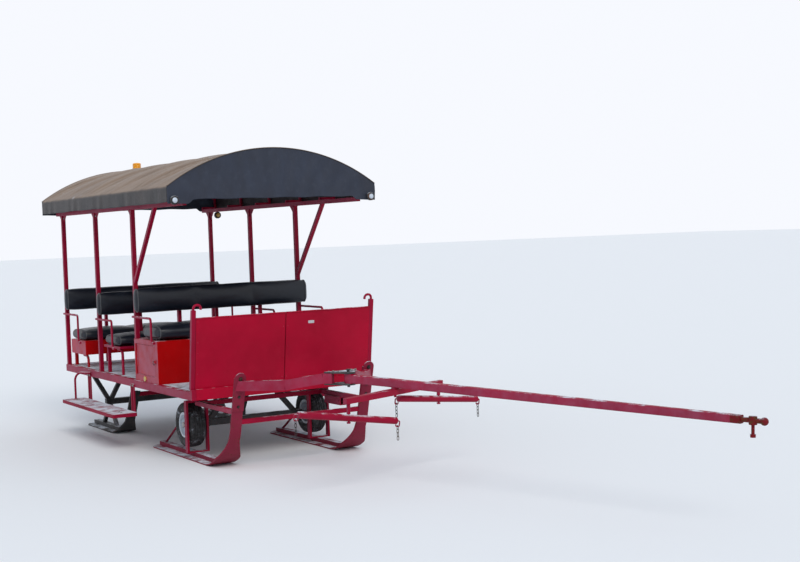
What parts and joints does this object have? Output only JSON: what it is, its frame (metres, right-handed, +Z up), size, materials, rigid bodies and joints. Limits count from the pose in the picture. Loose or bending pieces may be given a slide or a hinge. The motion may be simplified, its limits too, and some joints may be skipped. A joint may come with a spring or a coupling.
{
  "type": "horse drawn passenger sleigh",
  "caption": "Passenger sleigh on steel runners with small front wheels, bench seats under an arched canopy, and a tongue with evener and swing bars for a team",
  "frame": {"origin": "centre of the deck's top face", "axes": "+X forward, from the seats to the dash and along the sleigh, +Y to the sleigh's left, +Z up, square to the deck's top face"},
  "size_m": [8.6397, 2.3351, 2.88],
  "materials": {
    "red_sheet": "gloss",
    "red_tube": "gloss",
    "deck_boards": "worn",
    "black_vinyl": "satin",
    "roof_cloth": "matte",
    "gable_cloth": "matte",
    "black_steel": "satin",
    "white_rim": "gloss",
    "tyre_rubber": "matte",
    "amber_lens": "gloss",
    "lamp_body": "gloss",
    "bare_steel": "worn"
  },
  "bodies": {
    "sleigh": {"deck_frame": "red_tube", "deck_board": "deck_boards", "dash_posts": "red_tube", "dash_panel_left": "red_sheet", "dash_panel_right": "red_sheet", "seat_box": "red_sheet", "bench_middle": "red_tube", "bench_rear": "red_sheet", "backrest_stays": "red_tube", "armrests": "red_tube", "cushion_front": "black_vinyl", "cushion_middle": "black_vinyl", "cushion_rear": "black_vinyl", "backrest_front": "black_vinyl", "backrest_middle": "black_vinyl", "backrest_rear": "black_vinyl", "posts_left": "red_tube", "posts_right": "red_tube", "headers": "red_tube", "roof_hoops": "red_tube", "ridge_pole": "red_tube", "canopy_roof": "roof_cloth", "canopy_gable_front": "gable_cloth", "canopy_gable_rear": "gable_cloth", "beacon_base": "black_steel", "beacon_lens": "amber_lens", "corner_lamps": "lamp_body", "rear_lamp": "lamp_body", "reflectors": "amber_lens", "step_board_left": "red_tube", "step_board_right": "red_tube", "step_hangers": "red_tube", "front_axle": "black_steel", "rear_axle": "black_steel", "wheel_guards": "red_tube", "runner_front_left": "red_tube", "runner_front_right": "red_tube", "runner_rear_left": "black_steel", "runner_rear_right": "black_steel", "runner_ties": "red_tube", "cross_bars": "red_tube", "receiver": "red_tube", "draft_arms": "red_tube", "hitch": "black_steel"},
    "wheel_left": {"tyre_left": "tyre_rubber", "rim_left": "white_rim"},
    "wheel_right": {"tyre_right": "tyre_rubber", "rim_right": "white_rim"},
    "box_door_left": {"box_door_left": "red_sheet"},
    "box_door_right": {"box_door_right": "red_sheet"},
    "tongue": {"tongue": "red_tube", "tongue_tip": "bare_steel"},
    "evener": {"evener": "red_tube"},
    "swing_bar_left": {"swing_bar_left": "red_tube", "swing_chain_left": "bare_steel"},
    "swing_bar_right": {"swing_bar_right": "red_tube", "swing_chain_right": "bare_steel"}
  },
  "joints": [
    {"name": "wheel_left_spin", "type": "hinge", "parent": "sleigh", "child": "wheel_left", "pos_m": [1.08, 0.625, -0.38], "axis": [0, 1, 0], "continuous": true},
    {"name": "wheel_right_spin", "type": "hinge", "parent": "sleigh", "child": "wheel_right", "pos_m": [1.08, -0.625, -0.38], "axis": [0, 1, 0], "continuous": true},
    {"name": "tongue_swing", "type": "hinge", "parent": "sleigh", "child": "tongue", "pos_m": [3.03, 0, 0.143], "axis": [0, 0, 1], "range_deg": [-52, 18]},
    {"name": "evener_swing", "type": "hinge", "parent": "tongue", "child": "evener", "pos_m": [3.52541, 0.15146, 0.06141], "axis": [0.025, 0.0077, 0.9997], "range_deg": [-25, 15]},
    {"name": "swing_bar_left_swing", "type": "hinge", "parent": "evener", "child": "swing_bar_left", "pos_m": [3.30112, 0.6975, -0.0682], "axis": [0.025, 0.0077, 0.9997], "range_deg": [-18, 42]},
    {"name": "swing_bar_right_swing", "type": "hinge", "parent": "evener", "child": "swing_bar_right", "pos_m": [3.74313, -0.39659, -0.07089], "axis": [0.025, 0.0077, 0.9997], "range_deg": [-18, 42]},
    {"name": "box_door_left_hinge", "type": "hinge", "parent": "sleigh", "child": "box_door_left", "pos_m": [0.43, 0.893, 0.21], "axis": [0, 0, 1], "range_deg": [0, 120]},
    {"name": "box_door_right_hinge", "type": "hinge", "parent": "sleigh", "child": "box_door_right", "pos_m": [0.43, -0.893, 0.21], "axis": [0, 0, -1], "range_deg": [0, 120]}
  ]
}
